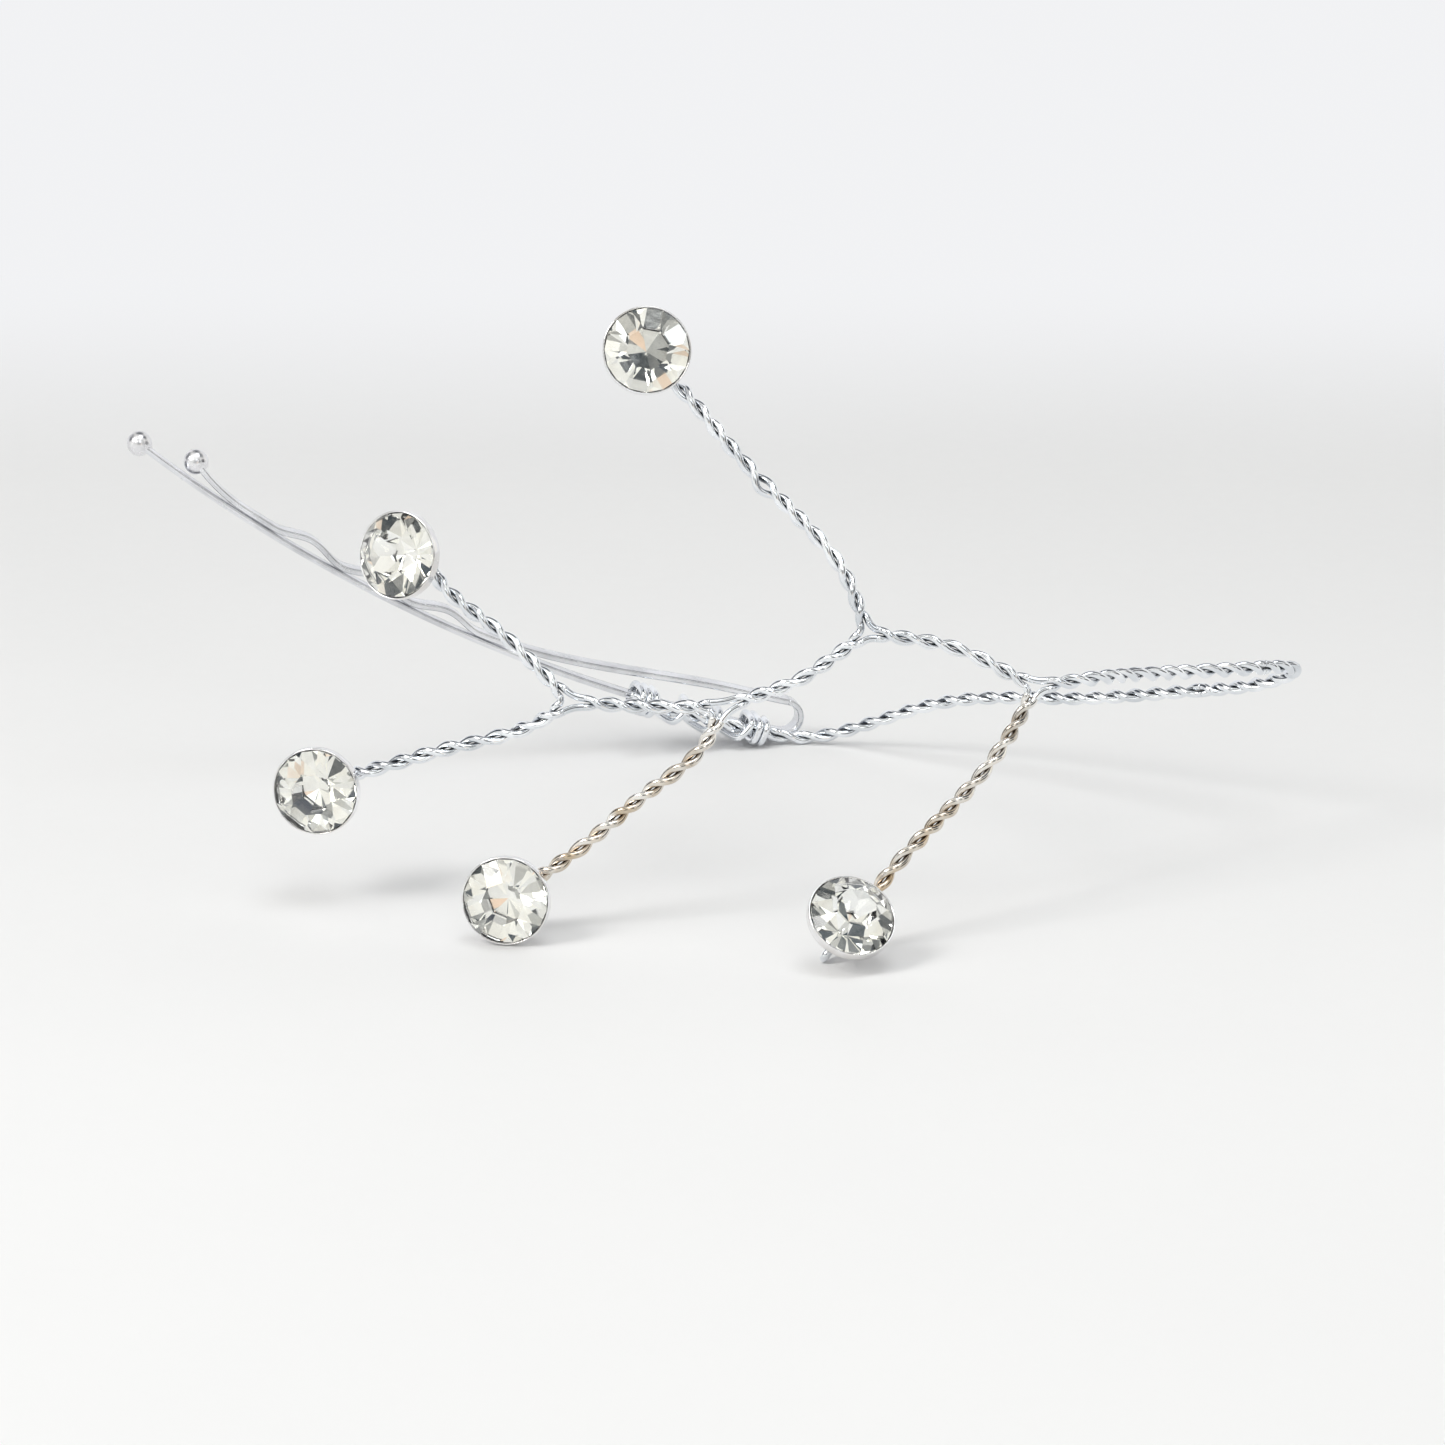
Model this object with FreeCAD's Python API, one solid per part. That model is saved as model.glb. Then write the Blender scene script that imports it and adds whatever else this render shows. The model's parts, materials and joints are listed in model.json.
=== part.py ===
import FreeCAD, Part
import math
import os

from FreeCAD import Vector

# Decorative hair pin: a branching sprig of twisted silver wire carries five
# foiled stones in metal cups and is bound to one leg of a sprung hair pin.
# Millimetres. +Z is up, +X runs along the longest extent, and the piece stands
# on two of its cups and on the bound head of the pin.

# Wire
STRAND_DIAMETER = 0.42
TWIST_PITCH = 2.8            # length of one full turn of the pair
STRAND_OFFSET = 0.215        # from the pair's axis to a strand's centre
STEPS_PER_TURN = 6           # arcs per turn of a strand
FRAMES_PER_STEP = 12         # samples of the axis curve per arc
EASE_LENGTH = 1.0            # stretch over which the twist starts and ends
FOOT_OFFSET = 0.25           # strand offset where a run meets its junction
EYE_TURN = 0.27              # bend radius allowed for at the narrowest side of an eye
BEND_GAP = 0.13              # free length left in a run where it bends

# Stones and cups, measured from the plane of the girdle along the stone's axis
STONE_RADIUS = 2.36
TABLE_RADIUS = 1.2
GIRDLE_TOP = 0.05
GIRDLE_BOTTOM = -0.08
CROWN_TOP = 0.95
PAVILION_TIP = -2.0
PAVILION_BREAK = 0.72        # share of the way out along each pavilion ridge
STONE_SIDES = 16
CUP_RADIUS = 2.48
CUP_WALL = 0.1
CUP_CLEARANCE = 0.02
LIP_TOP = 0.03
LIP_ROUND = 0.03
WALL_BOTTOM = -0.55
BASE_Z = -2.18
BASE_RADIUS = 1.05
TUNNEL_BORE = 0.25
TUNNEL_RADIUS = 0.38
TUNNEL_LENGTH = 2.0
TUNNEL_Z = -2.49
LEAD_LENGTH = 0.2            # straight wire beyond each end of the tunnel

# Hair pin
STRIP_THICKNESS = 0.36
STRIP_WIDTH = 1.25
BOW_RADIUS = 100.0
FIXED_LEG_LENGTH = 44.2
SPRING_LEG_LENGTH = 40.8
HEAD_RADIUS = 1.0            # centreline radius of the bend at the head
LEG_GAP = 0.06               # daylight between the legs where they nearly touch
CLOSING_START = 3.0          # distances along the leg from the head bend
CLOSING_END = 20.0
WAVE_END = 34.4
WAVE_COUNT = 3
WAVE_HEIGHT = 0.5
FLARE_START = 36.5
FLARE_RISE = 0.75
BEAD_RADIUS = 0.74
BEAD_SETBACK = 0.2

# Binding
WRAP_CLEARANCE = 0.03
WRAP_CORNER = 0.45
WRAP_PLACES = [1.3, 1.76, 2.22, 4.3, 6.4, 8.5, 8.96, 9.42]
TAIL_START = 0.4
TAIL_END = 10.0
TAIL_GAP = 0.05

# Places in the stance frame, before it is centred on the origin
UP = Vector(0, 0, 1)
FACING = Vector(0, -math.cos(math.radians(17)), math.sin(math.radians(17)))
ACROSS = Vector(1, 0, 0)
RISING = FACING.cross(ACROSS)
SPRIG_NORMAL = Vector(0, -0.94, 0.34)

JUNCTIONS = {
    "a": Vector(-8.4, 1.3, 12.2),
    "b": Vector(0.1, 0.3, 12.2),
    "c": Vector(8.1, 1.4, 16.2),
    "d": Vector(17.5, 1.6, 13.0),
}

# Run name: (first junction, points between, second junction)
STEM_RUNS = {
    "a_b": ("a", [Vector(-4.3, 0.8, 12.1)], "b"),
    "b_c": ("b", [Vector(4.3, 0.7, 13.7)], "c"),
    "c_d": ("c", [Vector(12.9, 1.7, 15.2)], "d"),
}
ELBOW = Vector(31.0, 12.4, 10.9)
ELBOW_RUN = [Vector(24.0, 6.9, 12.15)]
TURN_POINTS = [
    Vector(33.0, 14.7, 10.1),
    Vector(31.6, 17.5, 8.5),
]
RETURN_START = Vector(28.0, 20.2, 7.2)
RETURN_POINTS = [Vector(20.6, 25.2, 5.2), Vector(12.4, 29.6, 3.4)]
PIN_HEAD = Vector(3.4, 33.6, 0.58)
PIN_CHORD_END = Vector(-34.3, 24.3, 21.2)

# Branch name: junction, points of the run from there, stone centre, and lean
# of the stone's face to the right and upward in degrees
BRANCHES = {
    "top": ("c", [Vector(6.9, 2.7, 19.0), Vector(3.8, 4.2, 22.5), Vector(0.0, 6.0, 26.2), Vector(-2.2, 7.2, 28.5)],
            Vector(-4.2, 6.0, 31.2), 3, 3),
    "upper_left": ("a", [Vector(-12.7, 2.9, 16.0), Vector(-15.9, 4.2, 18.5)],
                   Vector(-18.1, 2.7, 20.3), -30, 0),
    "lower_left": ("a", [Vector(-10.2, 1.6, 11.0), Vector(-15.3, 2.6, 9.1), Vector(-20.3, 3.9, 7.3)],
                   Vector(-22.8, 1.8, 6.8), -12, -12),
    "front_left": ("b", [Vector(-0.9, -0.3, 10.4), Vector(-4.0, -1.1, 7.8), Vector(-7.4, -1.9, 5.1),
                         Vector(-9.7, -2.4, 3.5)],
                   Vector(-12.0, -5.0, 2.615), -9, -9),
    "front_right": ("d", [Vector(16.1, 0.2, 10.8), Vector(12.6, -2.6, 7.2), Vector(9.0, -5.0, 3.95)],
                    Vector(7.1, -9.0, 3.1), 15, 30),
}


def unit(vector):
    return Vector(vector).normalize()


def square_to(vector, axis):
    """The part of a vector at right angles to an axis, at unit length."""
    return unit(vector.sub(axis * vector.dot(axis)))


def smooth_step(x):
    x = min(max(x, 0.0), 1.0)
    return x * x * (3 - 2 * x)


def arc_edge(start, tangent, end):
    """The arc that leaves start along tangent and reaches end."""
    chord = end.sub(start)
    along = unit(chord)
    side = tangent.sub(along * tangent.dot(along))
    if side.Length < 1e-6:
        return Part.LineSegment(start, end).toShape()
    half_angle = tangent.getAngle(chord)
    rise = 0.5 * chord.Length * math.tan(half_angle / 2)
    middle = (start + end) * 0.5 + unit(side) * rise
    return Part.Arc(start, middle, end).toShape()


def joint_station(first, second):
    """Where two tangent arcs meet between two stations (point, tangent)."""
    p0, t0 = first
    p1, t1 = second
    gap = p1.sub(p0)
    both = t0 + t1
    bend = 2 * (1 - t0.dot(t1))
    if bend < 1e-9:
        reach = gap.dot(gap) / (2 * gap.dot(both))
    else:
        forward = gap.dot(both)
        reach = (math.sqrt(forward * forward + bend * gap.dot(gap)) - forward) / bend
    point = (p0 + p1) * 0.5 + (t0 - t1) * (reach * 0.5)
    tangent = unit(p1.sub(t1 * reach).sub(p0 + t0 * reach))
    return point, tangent


def with_joints(stations):
    """The stations with the meeting point of each pair of arcs put between them."""
    result = [stations[0]]
    for first, second in zip(stations, stations[1:]):
        result.append(joint_station(first, second))
        result.append(second)
    return result


def tube(stations, diameter):
    """A round wire through stations, as tangent arcs."""
    places = with_joints(stations)
    edges = [arc_edge(a[0], a[1], b[0]) for a, b in zip(places, places[1:])]
    point, tangent = stations[0]
    section = Part.Face(Part.Wire([Part.makeCircle(diameter / 2, point, tangent)]))
    return Part.Wire(edges).makePipe(section)


def ribbon(stations, thickness, width, across):
    """A flat strip whose centreline lies in the plane square to across."""
    places = with_joints(stations)
    sides = []
    for sign in (1, -1):
        shift = sign * thickness / 2
        moved = [(p + across.cross(t) * shift, t) for p, t in places]
        sides.append([arc_edge(a[0], a[1], b[0]) for a, b in zip(moved, moved[1:])])
    caps = []
    for point, tangent in (places[0], places[-1]):
        normal = across.cross(tangent) * (thickness / 2)
        caps.append(Part.LineSegment(point + normal, point.sub(normal)).toShape())
    outline = Part.Wire(Part.__sortEdges__(sides[0] + sides[1] + caps))
    face = Part.Face(outline)
    face.translate(across * (-width / 2))
    return face.extrude(across * width)


def axis_curve(points, start_tangent, end_tangent):
    curve = Part.BSplineCurve()
    curve.interpolate(Points=points, InitialTangent=start_tangent, FinalTangent=end_tangent)
    return curve


def eased_length(s, length):
    """Length along which the twist has built up at s, with a soft start and end."""
    if s < EASE_LENGTH:
        x = s / EASE_LENGTH
        return EASE_LENGTH * (x ** 3 - x ** 4 / 2)
    if s > length - EASE_LENGTH:
        x = (length - s) / EASE_LENGTH
        return length - EASE_LENGTH - EASE_LENGTH * (x ** 3 - x ** 4 / 2)
    return s - EASE_LENGTH / 2


def pair_spread(s, length, start_offset, end_offset):
    near_start = 1 - smooth_step(s / EASE_LENGTH)
    near_end = 1 - smooth_step((length - s) / EASE_LENGTH)
    extra = (start_offset - STRAND_OFFSET) * near_start
    return STRAND_OFFSET + extra + (end_offset - STRAND_OFFSET) * near_end


def carried_frames(curve, length, start_side, count):
    """Stations along a curve with a side vector carried along without spin."""
    frames = []
    side = start_side
    for index in range(count + 1):
        s = length * index / count
        place = curve.parameterAtDistance(s, curve.FirstParameter)
        tangent = unit(curve.tangent(place)[0])
        side = square_to(side, tangent)
        frames.append((s, curve.value(place), tangent, side))
    return frames


def twisted_pair(curve, start_side, end_side, start_offset=STRAND_OFFSET, end_offset=STRAND_OFFSET):
    """Two strands wound round an axis curve, parted along the given side at each end."""
    length = curve.length()
    steps = max(4, int(round(length / TWIST_PITCH * STEPS_PER_TURN)))
    frames = carried_frames(curve, length, start_side, steps * FRAMES_PER_STEP)
    _, _, last_tangent, last_side = frames[-1]
    finish = square_to(end_side, last_tangent)
    closing = math.atan2(last_tangent.dot(last_side.cross(finish)), last_side.dot(finish))
    wound = length - EASE_LENGTH
    total = closing + math.pi * round(wound * 2 / TWIST_PITCH - closing / math.pi)

    def strand_point(frame, start_phase):
        s, centre, tangent, side = frame
        phase = start_phase + total * eased_length(s, length) / wound
        radius = pair_spread(s, length, start_offset, end_offset)
        around = tangent.cross(side)
        return centre + side * (radius * math.cos(phase)) + around * (radius * math.sin(phase))

    strands = []
    for start_phase in (0.0, math.pi):
        points = [strand_point(frame, start_phase) for frame in frames]
        stations = [(points[0], frames[0][2])]
        for index in range(FRAMES_PER_STEP, len(frames) - 1, FRAMES_PER_STEP):
            stations.append((points[index], unit(points[index + 1].sub(points[index - 1]))))
        stations.append((points[-1], last_tangent))
        strands.append(tube(stations, STRAND_DIAMETER))
    return strands


def junction_spokes():
    """Each junction's runs with the unit direction in which each one leaves."""
    spokes = {name: [] for name in JUNCTIONS}
    for run, (first, between, second) in STEM_RUNS.items():
        spokes[first].append((run, unit(between[0].sub(JUNCTIONS[first]))))
        spokes[second].append((run, unit(between[-1].sub(JUNCTIONS[second]))))
    spokes["d"].append(("d_e", unit(ELBOW_RUN[0].sub(JUNCTIONS["d"]))))
    for name, (junction, run_points, _, _, _) in BRANCHES.items():
        spokes[junction].append((name, unit(run_points[0].sub(JUNCTIONS[junction]))))
    plane = unit(SPRIG_NORMAL)
    ordered = {}
    for name, runs in spokes.items():
        flat = [(run, square_to(heading, plane)) for run, heading in runs]
        level = square_to(ACROSS, plane)
        rise = plane.cross(level)
        flat.sort(key=lambda item: math.atan2(item[1].dot(rise), item[1].dot(level)))
        ordered[name] = flat
    return ordered


def foot_reach(spokes):
    """How far from a junction its runs start, set by its narrowest angle."""
    angles = []
    for index, (_, heading) in enumerate(spokes):
        angles.append(heading.getAngle(spokes[(index + 1) % len(spokes)][1]))
    return (EYE_TURN + FOOT_OFFSET) / math.sin(min(angles) / 2)


SPOKES = junction_spokes()


def foot(junction, run):
    """Where a run starts at a junction: its place, outward heading and side vector."""
    plane = unit(SPRIG_NORMAL)
    heading = dict(SPOKES[junction])[run]
    place = JUNCTIONS[junction] + heading * foot_reach(SPOKES[junction])
    return place, heading, plane.cross(heading)


def junction_eye(junction):
    """The strands that lead from each run to the next one round the junction."""
    spokes = SPOKES[junction]
    strands = []
    for index, (run, _) in enumerate(spokes):
        follower = spokes[(index + 1) % len(spokes)][0]
        place, heading, side = foot(junction, run)
        next_place, next_heading, next_side = foot(junction, follower)
        start = place + side * FOOT_OFFSET
        end = next_place.sub(next_side * FOOT_OFFSET)
        strands.append(tube([(start, heading * -1), (end, next_heading)], STRAND_DIAMETER))
    return strands


def stem_run(run):
    first, between, second = STEM_RUNS[run]
    start, start_heading, start_side = foot(first, run)
    end, end_heading, end_side = foot(second, run)
    curve = axis_curve([start] + between + [end], start_heading, end_heading * -1)
    return twisted_pair(curve, start_side, end_side, FOOT_OFFSET, FOOT_OFFSET)


def elbow_run():
    """The run from the last junction to the elbow, where the sprig bends."""
    start, heading, side = foot("d", "d_e")
    finish = unit(ELBOW.sub(ELBOW_RUN[0]))
    end = ELBOW.sub(finish * (BEND_GAP / 2))
    curve = axis_curve([start] + ELBOW_RUN + [end], heading, finish)
    return twisted_pair(curve, side, UP, FOOT_OFFSET, STRAND_OFFSET)


class Setting:
    """A stone in its cup at the end of a branch."""

    def __init__(self, name):
        self.name = name
        self.junction, self.run_points, self.centre, lean_right, lean_up = BRANCHES[name]
        right = math.sin(math.radians(lean_right))
        up = math.sin(math.radians(lean_up))
        self.axis = unit(FACING * math.sqrt(1 - right * right - up * up) + ACROSS * right + RISING * up)
        self.foot, self.foot_heading, self.foot_side = foot(self.junction, name)
        self.tunnel = self.centre + self.axis * TUNNEL_Z
        self.along = square_to(self.tunnel.sub(self.run_points[-1]), self.axis)

    def place(self, shape):
        """Moves a shape from the setting's own frame, with Z out of the face."""
        side = self.axis.cross(self.along)
        matrix = FreeCAD.Matrix(
            self.along.x, side.x, self.axis.x, self.centre.x,
            self.along.y, side.y, self.axis.y, self.centre.y,
            self.along.z, side.z, self.axis.z, self.centre.z,
            0, 0, 0, 1)
        placed = shape.copy()
        placed.Placement = FreeCAD.Placement(matrix)
        return placed

    def stone(self):
        """A machine-cut stone: octagonal table, sixteen-sided girdle, pointed back."""
        half = STONE_SIDES // 2
        step = 2 * math.pi / STONE_SIDES

        def ring(radius, height, count, turn):
            angles = [2 * math.pi * i / count + turn for i in range(count)]
            return [Vector(radius * math.cos(a), radius * math.sin(a), height) for a in angles]

        upper = ring(STONE_RADIUS, GIRDLE_TOP, STONE_SIDES, 0)
        lower = ring(STONE_RADIUS, GIRDLE_BOTTOM, STONE_SIDES, 0)
        table = ring(TABLE_RADIUS, CROWN_TOP, half, step / 2)
        tip = Vector(0, 0, PAVILION_TIP)
        ridge_reach = STONE_RADIUS * math.cos(step / 2) / math.cos(step)
        ridge_ends = ring(ridge_reach, GIRDLE_BOTTOM, half, step / 2)
        breaks = [tip + (end.sub(tip)) * PAVILION_BREAK for end in ridge_ends]
        facets = [table]
        for i in range(half):
            here = 2 * i
            following = (here + 1) % STONE_SIDES
            last = (here + 2) % STONE_SIDES
            beside = (i + 1) % half
            facets.append([upper[here], upper[following], table[i]])
            facets.append([upper[following], upper[last], table[beside], table[i]])
            facets.append([breaks[i], lower[following], lower[here]])
            facets.append([tip, breaks[beside], lower[last], lower[following], breaks[i]])
        for i in range(STONE_SIDES):
            j = (i + 1) % STONE_SIDES
            facets.append([lower[i], lower[j], upper[j], upper[i]])
        faces = []
        for facet in facets:
            faces += facet_faces(facet)
        solid = Part.Solid(Part.Shell(faces))
        if solid.Volume < 0:
            solid.reverse()
        return self.place(solid)

    def cup(self):
        """A spun cup with a rolled lip and a wire tunnel across its back."""
        bore = STONE_RADIUS + CUP_CLEARANCE
        inner_base = BASE_Z + CUP_WALL
        profile = [
            (0, BASE_Z), (BASE_RADIUS, BASE_Z), (CUP_RADIUS, WALL_BOTTOM), (CUP_RADIUS, LIP_TOP - LIP_ROUND),
            (CUP_RADIUS - LIP_ROUND, LIP_TOP), (bore + LIP_ROUND, LIP_TOP), (bore, LIP_TOP - LIP_ROUND),
            (bore, WALL_BOTTOM), (BASE_RADIUS - CUP_WALL / 2, inner_base), (0, inner_base),
        ]
        points = [Vector(x, 0, z) for x, z in profile]
        face = Part.Face(Part.makePolygon(points + [points[0]]))
        shell = face.revolve(Vector(0, 0, 0), UP, 360)
        start = Vector(-TUNNEL_LENGTH / 2, 0, TUNNEL_Z)
        outer = Part.makeCylinder(TUNNEL_RADIUS, TUNNEL_LENGTH, start, ACROSS)
        bore_hole = Part.makeCylinder(TUNNEL_BORE, TUNNEL_LENGTH + 2, start.sub(ACROSS), ACROSS)
        cup = shell.fuse(outer.cut(inner_room())).cut(bore_hole).removeSplitter()
        return self.place(cup.Solids[0])

    def loop(self):
        """The wire through the tunnel and back behind it."""
        spread = TUNNEL_RADIUS + 0.02 + STRAND_DIAMETER / 2
        half = TUNNEL_LENGTH / 2 + LEAD_LENGTH
        back = self.axis * -spread
        near = self.tunnel.sub(self.along * half)
        far = self.tunnel + self.along * half
        turn = far + back * 0.5 + self.along * (spread / 2)
        stations = [
            (near, self.along), (far, self.along), (turn, unit(back)),
            (far + back, self.along * -1), (near + back, self.along * -1),
        ]
        return tube(stations, STRAND_DIAMETER)

    def branch(self):
        """The twisted run from the junction to the cup."""
        spread = TUNNEL_RADIUS + 0.02 + STRAND_DIAMETER / 2
        half = TUNNEL_LENGTH / 2 + LEAD_LENGTH + 0.02
        start = self.foot + self.foot_heading * BEND_GAP
        end = self.tunnel.sub(self.along * half).sub(self.axis * (spread / 2))
        curve = axis_curve([start] + self.run_points + [end], self.foot_heading, self.along)
        return twisted_pair(curve, self.foot_side, self.axis, FOOT_OFFSET, spread / 2)


def facet_faces(points):
    """One planar face where the points are in a plane, else a fan of triangles."""
    normal = points[1].sub(points[0]).cross(points[2].sub(points[0])).normalize()
    if all(abs(p.sub(points[0]).dot(normal)) < 1e-7 for p in points):
        return [Part.Face(Part.makePolygon(points + [points[0]]))]
    fan = []
    for i in range(1, len(points) - 1):
        corner = [points[0], points[i], points[i + 1], points[0]]
        fan.append(Part.Face(Part.makePolygon(corner)))
    return fan


def inner_room():
    """The space inside the cup, above its base."""
    height = -BASE_Z
    return Part.makeCylinder(BASE_RADIUS + 1, height, Vector(0, 0, BASE_Z + CUP_WALL / 2))


class Pin:
    """The hair pin's own frame: distance along the fixed leg, height above it, and width."""

    def __init__(self):
        chord = PIN_CHORD_END.sub(PIN_HEAD)
        self.ahead = unit(chord)
        self.across = unit(UP.cross(self.ahead)) * -1
        self.above = self.ahead.cross(self.across) * -1
        if self.above.z < 0:
            self.above = self.above * -1
        self.lean = math.asin(chord.Length / 2 / BOW_RADIUS)

    def point(self, s, height, width=0.0):
        angle = s / BOW_RADIUS - self.lean
        radius = BOW_RADIUS - height
        along = BOW_RADIUS * math.sin(self.lean) + radius * math.sin(angle)
        rise = BOW_RADIUS * math.cos(self.lean) - radius * math.cos(angle)
        return PIN_HEAD + self.ahead * along + self.above * rise + self.across * width

    def heading(self, s, slope=0.0):
        angle = s / BOW_RADIUS - self.lean + math.atan(slope)
        return self.ahead * math.cos(angle) + self.above * math.sin(angle)

    def station(self, s, height, slope=0.0, width=0.0):
        return self.point(s, height, width), self.heading(s, slope)


PIN = Pin()


def spring_height(s):
    """Height of the springy leg's centreline above the fixed leg's."""
    low = STRIP_THICKNESS + LEG_GAP
    closing = smooth_step((s - CLOSING_START) / (CLOSING_END - CLOSING_START))
    height = 2 * HEAD_RADIUS + (low - 2 * HEAD_RADIUS) * closing
    if CLOSING_END < s < WAVE_END:
        turn = 2 * math.pi * WAVE_COUNT * (s - CLOSING_END) / (WAVE_END - CLOSING_END)
        height += WAVE_HEIGHT * (1 - math.cos(turn)) / 2
    if s > FLARE_START:
        x = (s - FLARE_START) / (SPRING_LEG_LENGTH - FLARE_START)
        height += FLARE_RISE * x * x
    return height


def fixed_leg():
    apex = PIN.point(0, HEAD_RADIUS).sub(PIN.heading(0) * HEAD_RADIUS)
    up = unit(PIN.point(0, 1).sub(PIN.point(0, 0)))
    end_of_bend = (PIN.point(0, 2 * HEAD_RADIUS), PIN.heading(0) * -1)
    stations = [end_of_bend, (apex, up * -1)]
    for index in range(4):
        stations.append(PIN.station(FIXED_LEG_LENGTH * index / 3, 0))
    return ribbon(stations, STRIP_THICKNESS, STRIP_WIDTH, PIN.across)


def spring_leg():
    stations = []
    step = (WAVE_END - CLOSING_END) / WAVE_COUNT / 6
    count = int(round((SPRING_LEG_LENGTH - BEND_GAP) / step))
    for index in range(count + 1):
        s = BEND_GAP + (SPRING_LEG_LENGTH - BEND_GAP) * index / count
        slope = (spring_height(s + 0.01) - spring_height(s - 0.01)) / 0.02
        stations.append(PIN.station(s, spring_height(s), slope))
    return ribbon(stations, STRIP_THICKNESS, STRIP_WIDTH, PIN.across)


def bead(centre, heading, leg):
    """A rounded bead dipped over a leg's tip."""
    return Part.makeSphere(BEAD_RADIUS, centre, heading).cut(leg).Solids[0]


def tail_width():
    """Where the sprig's tail lies beside the fixed leg."""
    return -(STRIP_WIDTH / 2 + TAIL_GAP + STRAND_OFFSET + STRAND_DIAMETER / 2)


def wrap_ring(s):
    """One turn of binding wire round the fixed leg and the sprig's tail."""
    pair_radius = STRAND_OFFSET + STRAND_DIAMETER / 2
    margin = WRAP_CLEARANCE + STRAND_DIAMETER / 2
    low = tail_width() - pair_radius - margin
    high = STRIP_WIDTH / 2 + margin
    rise = pair_radius + margin
    centre_width = (low + high) / 2
    half_width = (high - low) / 2
    up = unit(PIN.point(s, 1).sub(PIN.point(s, 0)))
    centre = PIN.point(s, 0, centre_width)

    def spot(width, height):
        return centre + PIN.across * width + up * height

    stations = []
    turns = ((1, 1), (-1, 1), (-1, -1), (1, -1))
    for right, top in turns:
        corner = spot(right * (half_width - WRAP_CORNER), top * (rise - WRAP_CORNER))
        outward = (PIN.across * right, up * top)
        if right != top:
            outward = (outward[1], outward[0])
        forward = (outward[1], outward[0] * -1)
        for leave, going in zip(outward, forward):
            stations.append((corner + leave * WRAP_CORNER, going))
    stations.append(stations[0])
    edges = []
    for index, (first, second) in enumerate(zip(stations, stations[1:])):
        if index % 2:
            edges.append(Part.LineSegment(first[0], second[0]).toShape())
        else:
            edges.append(arc_edge(first[0], first[1], second[0]))
    section = Part.Face(Part.Wire([Part.makeCircle(STRAND_DIAMETER / 2, stations[0][0], stations[0][1])]))
    return Part.Wire(edges).makePipe(section)


def elbow_turn():
    """The U-turn between the sprig and the way back to the pin."""
    start_heading = unit(ELBOW.sub(ELBOW_RUN[0]))
    start = ELBOW + start_heading * (BEND_GAP / 2)
    curve = axis_curve([start] + TURN_POINTS + [RETURN_START], start_heading, return_heading())
    return twisted_pair(curve, UP, UP)


def return_heading():
    return unit(RETURN_POINTS[0].sub(RETURN_START))


def return_run():
    """The run from the U-turn to the pin's head."""
    points = [RETURN_START] + RETURN_POINTS + [PIN.point(TAIL_START, 0, tail_width())]
    curve = axis_curve(points, return_heading(), PIN.heading(TAIL_START))
    return twisted_pair(curve, UP, UP)


def tail_run():
    """The sprig's tail, bound along the fixed leg."""
    places = [TAIL_START + (TAIL_END - TAIL_START) * i / 3 for i in range(4)]
    points = [PIN.point(s, 0, tail_width()) for s in places]
    curve = axis_curve(points, PIN.heading(TAIL_START), PIN.heading(TAIL_END))
    return twisted_pair(curve, UP, UP)


def hinges():
    """Each bend of the piece: where it is and about which axis it turns, in the stance frame."""
    turn_axis = unit(unit(ELBOW.sub(ELBOW_RUN[0])).cross(return_heading()))
    found = {
        "spring_leg_open": (PIN.point(BEND_GAP / 2, 2 * HEAD_RADIUS), PIN.across),
        "sprig_swing": (ELBOW, turn_axis),
    }
    for name in BRANCHES:
        found[name + "_branch_bend"] = (Setting(name).foot, unit(SPRIG_NORMAL))
    return found


def build_nodes():
    """Every node's solids, in the stance frame."""
    nodes = {}
    fixed = fixed_leg()
    spring = spring_leg()
    nodes["pin_fixed_leg"] = [fixed]
    nodes["pin_spring_leg"] = [spring]
    fixed_tip = FIXED_LEG_LENGTH - BEAD_SETBACK
    nodes["fixed_leg_bead"] = [bead(*PIN.station(fixed_tip, 0), fixed)]
    spring_tip = SPRING_LEG_LENGTH - BEAD_SETBACK
    slope = 2 * FLARE_RISE / (SPRING_LEG_LENGTH - FLARE_START)
    nodes["spring_leg_bead"] = [bead(*PIN.station(spring_tip, spring_height(spring_tip), slope), spring)]
    nodes["binding_wraps"] = [wrap_ring(s) for s in WRAP_PLACES]
    nodes["sprig_tail"] = tail_run()
    nodes["sprig_return_run"] = return_run()
    nodes["sprig_elbow_turn"] = elbow_turn()
    nodes["stem_d_e"] = elbow_run()
    for run in STEM_RUNS:
        nodes["stem_" + run] = stem_run(run)
    for junction in JUNCTIONS:
        nodes["junction_" + junction + "_eye"] = junction_eye(junction)
    for name in BRANCHES:
        setting = Setting(name)
        nodes[name + "_branch"] = setting.branch()
        nodes[name + "_wire_loop"] = [setting.loop()]
        nodes[name + "_cup"] = [setting.cup()]
        nodes[name + "_stone"] = [setting.stone()]
    return nodes


def centring_shift(nodes):
    """The move that puts the origin at the middle of the base of the whole piece."""
    box = FreeCAD.BoundBox()
    for solids in nodes.values():
        for solid in solids:
            box.add(solid.optimalBoundingBox(False, False))
    return Vector(-box.Center.x, -box.Center.y, -box.ZMin)


def main():
    os.makedirs("parts", exist_ok=True)
    nodes = build_nodes()
    shift = centring_shift(nodes)
    for name, solids in nodes.items():
        shape = Part.makeCompound(solids) if len(solids) > 1 else solids[0]
        shape.translate(shift)
        shape.exportStep("parts/" + name + ".step")
    print("nodes", len(nodes), "shift", [round(value, 3) for value in shift])
    for name, (place, axis) in hinges().items():
        print(name, [round(value, 3) for value in place + shift], [round(value, 4) for value in axis])


if __name__ == "__main__":
    main()
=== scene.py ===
import json
import math
import random

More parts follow.
